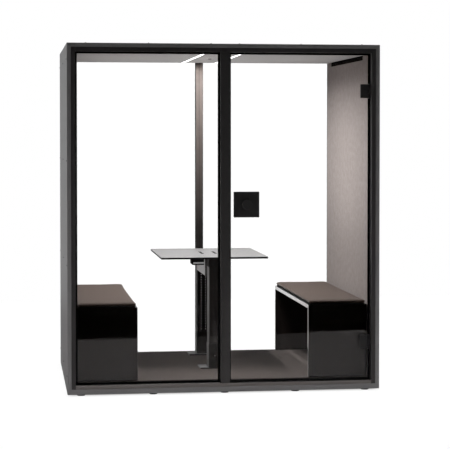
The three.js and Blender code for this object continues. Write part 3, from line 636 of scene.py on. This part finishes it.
def plain_pad():
    """Rolled edges from quarter circles below and above, then rings that shrink to the crowned middle."""
    base = pad_low[2] + plinth_height
    top = pad_high[2] - swell
    bend = np.linspace(0, np.pi / 2, 5)
    insets = np.concatenate([pad_roll * (1 - np.sin(bend)), pad_roll * (1 - np.cos(bend))])
    lower = base + pad_roll * (1 - np.cos(bend))
    upper = top - crown - pad_roll * (1 - np.sin(bend))
    outlines = []
    for inset in insets:
        half_x = pad_half[0] - swell - inset
        half_y = pad_half[1] - swell - inset
        ring = rounded_outline(half_x, half_y, pad_corner - inset, pad_step, arc=9)
        outlines.append(drawn_in(ring, half_x, half_y, waist))
    shrink = np.linspace(0.95, 0.05, 12)
    outlines += [outlines[-1] * share for share in shrink]
    heights = np.concatenate([lower, upper, top - crown * shrink**2])
    return sweep("seat_pad_shape", outlines, heights, pad_middle)


pad_mesh = plain_pad()
print("pad before filling:", len(pad_mesh.vertices), "points")

# %% Filling the pad
voxel = 0.007
pressure = 4.0
frames = 20
most_move = 0.004


def filled(mesh):
    """Remeshes the pad evenly, blows it up as cloth, caps each point's move and keeps the result."""
    pad = bpy.data.objects.new("pad_work", mesh)
    scene.collection.objects.link(pad)
    bpy.context.view_layer.objects.active = pad
    remesh = pad.modifiers.new("even", "REMESH")
    remesh.mode = "VOXEL"
    remesh.voxel_size = voxel
    bpy.ops.object.modifier_apply(modifier=remesh.name)
    count = len(pad.data.vertices)
    before = np.empty(count * 3)
    pad.data.vertices.foreach_get("co", before)
    cloth = pad.modifiers.new("cover", "CLOTH")
    cloth.settings.quality = 5
    cloth.settings.mass = 0.3
    cloth.settings.use_pressure = True
    cloth.settings.uniform_pressure_force = pressure
    cloth.settings.effector_weights.gravity = 0
    cloth.point_cache.frame_start = 1
    cloth.point_cache.frame_end = frames
    for number in range(1, frames + 1):
        scene.frame_set(number)
    shape = pad.evaluated_get(bpy.context.evaluated_depsgraph_get()).to_mesh()
    after = np.empty(count * 3)
    shape.vertices.foreach_get("co", after)
    pad.modifiers.remove(cloth)
    scene.frame_set(1)
    move = (after - before).reshape(-1, 3)
    length = np.linalg.norm(move, axis=1, keepdims=True)
    place_now = before.reshape(-1, 3) + move * np.minimum(1, most_move / np.maximum(length, 1e-9))
    place_now = np.clip(place_now, pad_low + [0, 0, plinth_height], pad_high)
    pad.data.vertices.foreach_set("co", place_now.ravel())
    pad.data.update()
    kept = pad.data
    bpy.data.objects.remove(pad)
    print("pad filled: largest move %.1f mm on %d points" % (length.max() * 1000, count))
    return kept


pad_mesh = filled(pad_mesh)

# %% Both pads on their plinths
plinth_inset = 0.007
plinth_corner = 0.015
plinth_step = 0.1
plinth_half = pad_half - plinth_inset
for side in ["left", "right"]:
    low, high = (np.array(corner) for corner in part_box(side + "_seat_pad"))
    middle = (low + high) / 2
    mesh = pad_mesh.copy()
    points = np.empty(len(mesh.vertices) * 3)
    mesh.vertices.foreach_get("co", points)
    mesh.vertices.foreach_set("co", (points.reshape(-1, 3) + (middle - pad_middle)).ravel())
    mesh.update()
    pad = new_piece(side + "_woven_pad", mesh, woven_cover, "pod")
    smooth = pad.modifiers.new("smooth", "SUBSURF")
    smooth.levels = 1
    smooth.render_levels = 1
    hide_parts(side + "_seat_pad")
    ring = rounded_outline(plinth_half[0], plinth_half[1], plinth_corner, plinth_step, arc=6)
    stack = sweep(side + "_plinth", [ring, ring], [low[2], low[2] + plinth_height], middle)
    new_piece(side + "_pad_plinth", stack, black_plastic, "pod", smooth=False)
    print(side, "pad:", len(mesh.vertices), "points")

# %% [markdown]
# ## Screws
# Small screws hold the roof and the wall skins along their edges, and one screw locks each table column in
# its sleeve. A head is a profile turned about its axis: a dished socket, a flat rim and a sloped edge. A
# row is the same head at several places, so it is one array of points with one more dimension.

# %% Screw heads
screw_radius = 0.0042
socket_radius = 0.0018
screw_stand = 0.003


def screw_row(name, places, out, material):
    """Turns the head profile about the outward axis once and repeats it at every place."""
    radius = np.array([screw_radius, screw_radius, screw_radius * 0.8, socket_radius, socket_radius * 0.9])
    height = np.array([0.0, 0.5, 1.0, 1.0, 0.2]) * screw_stand
    angle = np.linspace(0, 2 * np.pi, 16, endpoint=False)
    out = np.array(out, float)
    side = np.roll(out, 1)
    circle = np.cos(angle)[:, None] * side + np.sin(angle)[:, None] * np.cross(out, side)
    head = radius[:, None, None] * circle + height[:, None, None] * out
    points, faces = closed_grid(head, out * height[0], out * height[-1])
    spots = np.array(places)
    every = (spots[:, None] + points).reshape(-1, 3)
    repeated = [[i + k * len(points) for i in face] for k in range(len(spots)) for face in faces]
    return new_piece(name, make_mesh(name, every, repeated), material, "pod")


# %% Screws of the roof and the walls
screw_inset = 0.008
roof_low, roof_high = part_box("roof_panel")
roof_spots = (-0.883, -0.487, -0.091, 0.091, 0.487, 0.883)
for name, y in [("front", roof_low.y + screw_inset), ("rear", roof_high.y - screw_inset)]:
    places = [(x, y, roof_high.z) for x in roof_spots]
    screw_row("roof_" + name + "_screws", places, (0, 0, 1), hardware_coat)
wall_spots = [(y, z) for y in (-0.66, 0.0, 0.66) for z in (0.12, 0.82, 1.48, 2.12)]
for side, sign in [("left", -1), ("right", 1)]:
    places = [(sign * roof_high.x, y, z) for y, z in wall_spots]
    screw_row(side + "_wall_screws", places, (sign, 0, 0), hardware_coat)
print("screws on the shell:", 2 * len(roof_spots) + 2 * len(wall_spots))

# %% Screws of the table's sleeves
sleeve_screw_height = 0.087
for name, sign in [("front", -1), ("rear", 1)]:
    low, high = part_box("table_" + name + "_base")
    face = low.y if sign < 0 else high.y
    places = [(0, face, low.z + sleeve_screw_height)]
    screw_row(name + "_sleeve_screw", places, (0, sign, 0), ground_steel)
print("sleeve screws at %.3f m" % places[0][2])

# %% [markdown]
# ## Small parts of the table
# The cable chain has two pale clips on the front of every link. The power box has a pale trim, and rubber
# lips close the two cable slots. They are all plain boxes, so one function makes any number of them.


# %% Boxes
def many_boxes(name, low, high, material):
    """Boxes from two arrays of opposite corners: each corner takes low or high on every axis."""
    corner = np.array(np.meshgrid([0, 1], [0, 1], [0, 1], indexing="ij")).reshape(3, 8).T
    points = np.where(corner, np.array(high)[:, None], np.array(low)[:, None]).reshape(-1, 3)
    sides = [(0, 1, 3, 2), (4, 6, 7, 5), (0, 4, 5, 1), (2, 3, 7, 6), (0, 2, 6, 4), (1, 5, 7, 3)]
    faces = (np.arange(len(low))[:, None, None] * 8 + np.array(sides)).reshape(-1, 4).tolist()
    return new_piece(name, make_mesh(name, points, faces), material, "pod", smooth=False)


# %% Clips on the cable chain
chain_pitch = 0.0184
clip_size = 0.006
clip_stand = 0.001
clip_offset = 0.015
chain_low, chain_high = (np.array(corner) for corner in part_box("cable_chain"))
chain_middle = (chain_low[0] + chain_high[0]) / 2
link_places = chain_low[2] + np.arange(round((chain_high[2] - chain_low[2]) / chain_pitch)) * chain_pitch
clip_low = [
    (chain_middle + offset - clip_size / 2, chain_low[1] - clip_stand, height + clip_size / 2)
    for height in link_places
    for offset in (-clip_offset, clip_offset)
]
clip_high = np.array(clip_low) + [clip_size, clip_stand, clip_size]
many_boxes("chain_clips", clip_low, clip_high, table_coat)
print("chain links with clips:", len(link_places))

# %% Trim of the power box
trim_left = 0.014
trim_right = 0.001
trim_stand = 0.001
trim_rise = 0.009
trim_height = 0.01
box_low, box_high = (np.array(corner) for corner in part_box("power_box"))
trim_low = (box_low[0] + trim_left, box_low[1] - trim_stand, box_low[2] + trim_rise)
trim_high = (box_high[0] - trim_right, box_low[1], box_low[2] + trim_rise + trim_height)
many_boxes("power_box_trim", [trim_low], [trim_high], table_coat)
print("trim: %.0f mm long" % ((trim_high[0] - trim_low[0]) * 1000))

# %% Lips of the cable slots
slot_offset = 0.046
lip_width = 0.0085
lip_half = 0.0985
lip_height = 0.0008
lip_gap = 0.0004
table_low, table_high = (np.array(corner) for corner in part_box("table_top"))
table_middle = (table_low[1] + table_high[1]) / 2
lip_starts = [x + side for x in (-slot_offset, slot_offset) for side in (-lip_gap - lip_width, lip_gap)]
lip_low = [(x, table_middle - lip_half, table_high[2]) for x in lip_starts]
lip_high = [(x + lip_width, table_middle + lip_half, table_high[2] + lip_height) for x in lip_starts]
many_boxes("slot_lips", lip_low, lip_high, seal_rubber)
print("slot lips:", len(lip_starts))

# %% [markdown]
# ## Threshold and sheets of painted shade
# A black rubber strip lies on the front sill under the door as its threshold. Under each seat a thin
# near-black sheet against the wall is painted shade for the hollow under the bench. These are plain boxes
# too.

# %% Threshold
strip_height = 0.0012
strip_inset = 0.002
strip_gap = 0.0005
sill_low, sill_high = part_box("front_sill")
mullion_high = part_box("front_mullion")[1]
seal_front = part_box("door_seal")[0].y
strip_low = (mullion_high.x + strip_gap, sill_low.y + strip_inset, sill_high.z)
strip_high = (sill_high.x - strip_gap, seal_front - strip_gap, sill_high.z + strip_height)
many_boxes("door_threshold", [strip_low], [strip_high], seal_rubber)
print("threshold: %.0f mm long" % ((strip_high[0] - strip_low[0]) * 1000))

# %% Sheets of painted shade under the benches
shade_sheet_thickness = 0.01
for side, sign in [("left", -1), ("right", 1)]:
    front_low, front_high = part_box(side + "_bench_front_panel")
    rear_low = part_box(side + "_bench_rear_panel")[0]
    wall_face = front_low.x if sign < 0 else front_high.x
    reach = sorted([wall_face, wall_face - sign * shade_sheet_thickness])
    low = (reach[0], front_high.y + strip_gap, front_low.z)
    high = (reach[1], rear_low.y - strip_gap, front_high.z - strip_gap)
    # Painted shade: a near-black sheet against the wall under the seat.
    many_boxes(side + "_bench_shade_sheet", [low], [high], painted_shade_sheet)
    print(side, "bench back: %.0f mm wide" % ((high[1] - low[1]) * 1000))

# %% [markdown]
# ## Light, floor and backdrop
# The pod stands in a dim room that is a little brighter behind it, under an even light from straight above,
# and the pale floor throws that light back. To the camera the floor and the room are plain white, also
# through the glass. In mirrors they are dimmer. The glass shows a dim floor and the polished bench fronts
# behind it show a bright one, which makes the step of light low on them. The cabin has its own light: a
# long soft lamp under each opal strip, and three weak fills in place of the light that felt and table
# throw back.

# %% World
room_level = 0.2
share_through_glass = 0.15
white_through_glass = 1.18


def ray_kinds(tree):
    """The ray's path, and three masks: just through glass, gathers light for a surface, never mirrored."""
    path = put(tree, "ShaderNodeLightPath").outputs
    lit = maths(tree, "GREATER_THAN", path["Diffuse Depth"], 0.5)
    straight = maths(tree, "LESS_THAN", path["Glossy Depth"], 0.5)
    return path, path["Is Transmission Ray"], lit, straight


world = bpy.data.worlds.new("studio")
scene.world = world
world.use_nodes = True
tree = world.node_tree
_, through, lit, straight = ray_kinds(tree)
direction = put(tree, "ShaderNodeTexCoord").outputs["Generated"]
rearward = put(tree, "ShaderNodeSeparateXYZ", {0: direction}).outputs["Y"]
studio = ramp(tree, rearward, (-0.35, 0.35), (0.0, room_level))
room = maths(tree, "MULTIPLY", studio, blend_values(tree, through, 1.0, share_through_glass))
mirror = ramp(tree, rearward, (-0.3, 0.1))
seen = blend_values(tree, straight, mirror, 1.0)
clear = maths(tree, "MULTIPLY", seen, blend_values(tree, through, 1.0, white_through_glass))
background = tree.nodes["Background"]
background.inputs["Color"].default_value = (1, 1, 1, 1)
tree.links.new(blend_values(tree, lit, clear, room), background.inputs["Strength"])
print("room behind the pod:", room_level)

# %% Floor finish
floor_pale = (0.85, 0.82, 0.81)
floor_in_glass = (0.16, 0.15, 0.146)
floor_in_polish = (0.82, 0.77, 0.755)
floor_for_cabin = (0.12, 0.12, 0.12)
shade_reach = (-0.09, 0.0)
white_shares = (0.05, 0.92)
white_strengths = (1.02, 1.2)


def make_floor_finish():
    """A pale sheet that takes the pod's shadow, dimmer in mirrors and for the cabin. To the camera it is
    mostly white, except under the pod. A mirrored ray that has crossed more than two faces of glass comes
    from a polished piece in the cabin."""
    material, tree, shader = start_material("pale_floor")
    path, through, lit, straight = ray_kinds(tree)
    deep = maths(tree, "GREATER_THAN", path["Transmission Depth"], 2.5)
    mirrored = maths(tree, "MAXIMUM", path["Is Glossy Ray"], through)
    glossy = blend_colours(tree, deep, floor_in_glass, floor_in_polish)
    pale = blend_colours(tree, mirrored, floor_pale, glossy)
    pale = blend_colours(tree, maths(tree, "MULTIPLY", lit, through), pale, floor_for_cabin)
    tree.links.new(pale, shader.inputs["Base Color"])
    shader.inputs["Roughness"].default_value = 0.9
    shader.inputs["Specular IOR Level"].default_value = 0.0
    spot = spot_on(tree)
    past_x = maths(tree, "SUBTRACT", maths(tree, "ABSOLUTE", spot["X"]), cad_box[1][0])
    past_y = maths(tree, "SUBTRACT", maths(tree, "ABSOLUTE", spot["Y"]), cad_box[1][1])
    away = ramp(tree, maths(tree, "MAXIMUM", past_x, past_y), shade_reach, white_shares)
    clear = maths(tree, "MAXIMUM", path["Is Camera Ray"], maths(tree, "MULTIPLY", through, straight))
    share = maths(tree, "MULTIPLY", clear, away)
    share = maths(tree, "MULTIPLY", share, maths(tree, "SUBTRACT", 1.0, lit))
    white = put(tree, "ShaderNodeEmission", {"Strength": blend_values(tree, through, *white_strengths)})
    mix = put(tree, "ShaderNodeMixShader", {0: share, 1: shader.outputs[0], 2: white.outputs[0]})
    tree.links.new(mix.outputs[0], tree.nodes["Material Output"].inputs["Surface"])
    return material


pale_floor = make_floor_finish()
print("floor:", pale_floor.name)

# %% Floor sheet, with its front edge square to the camera's line of sight
floor_front = 2.68
floor_reach = 4.9
front_edge = cad_box[0][1] - floor_front
skew = floor_reach * np.tan(camera_yaw)
corners = [
    (-floor_reach, front_edge + skew, 0),
    (floor_reach, front_edge - skew, 0),
    (floor_reach, floor_reach, 0),
    (-floor_reach, floor_reach, 0),
]
floor = bpy.data.objects.new("floor", make_mesh("floor", corners, [(0, 1, 2, 3)]))
floor.data.materials.append(pale_floor)
scene.collection.objects.link(floor)
print("floor: %.1f m wide" % (2 * floor_reach))

# %% Overhead light on the floor
overhead_power = 3.3
overhead_spread = np.radians(4)
overhead = bpy.data.lights.new("overhead", "SUN")
overhead.energy = overhead_power
overhead.angle = overhead_spread
overhead_object = bpy.data.objects.new("overhead", overhead)
overhead_object.location = (0, 0, 4)
scene.collection.objects.link(overhead_object)
print("overhead light:", overhead_power)

# %% Lamps under the strips
strip_power = 20.0
lamp_gap = 0.003


def cabin_lamp(name, width, length, power, middle, turn=(0, 0, 0), mirrored=True):
    """A rectangle of light, not seen by the camera or through glass; unturned, it shines down."""
    lamp = bpy.data.lights.new(name, "AREA")
    lamp.shape = "RECTANGLE"
    lamp.size = width
    lamp.size_y = length
    lamp.energy = power
    lamp_object = bpy.data.objects.new(name, lamp)
    lamp_object.location = middle
    lamp_object.rotation_euler = turn
    lamp_object.visible_camera = False
    lamp_object.visible_transmission = False
    lamp_object.visible_glossy = mirrored
    scene.collection.objects.link(lamp_object)


for side in ["left", "right"]:
    low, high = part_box(side + "_light_diffuser")
    middle = ((low.x + high.x) / 2, (low.y + high.y) / 2, low.z - lamp_gap)
    cabin_lamp(side + "_strip_lamp", high.x - low.x, high.y - low.y, strip_power, middle)
print("lamps under the strips:", strip_power, "W each")

# %% Weak fills: name, width, length, power, place and turn
over_table = table_high[2] + 0.12
fills = [
    ("upward_fill", 1.0, 0.9, 4.2, (0, 0, over_table), (np.pi, 0, 0)),
    ("sideways_fill", 0.3, 0.6, 0.55, (-0.45, 0.1, 0.72), (0, -np.pi / 2, 0)),
    ("rearward_fill", 0.3, 0.3, 1.2, (-0.1, -0.6, 0.55), (np.pi / 2, 0, 0)),
]
for name, width, length, power, middle, turn in fills:
    cabin_lamp(name, width, length, power, middle, turn, mirrored=False)
print("fills:", [fill[0] for fill in fills])
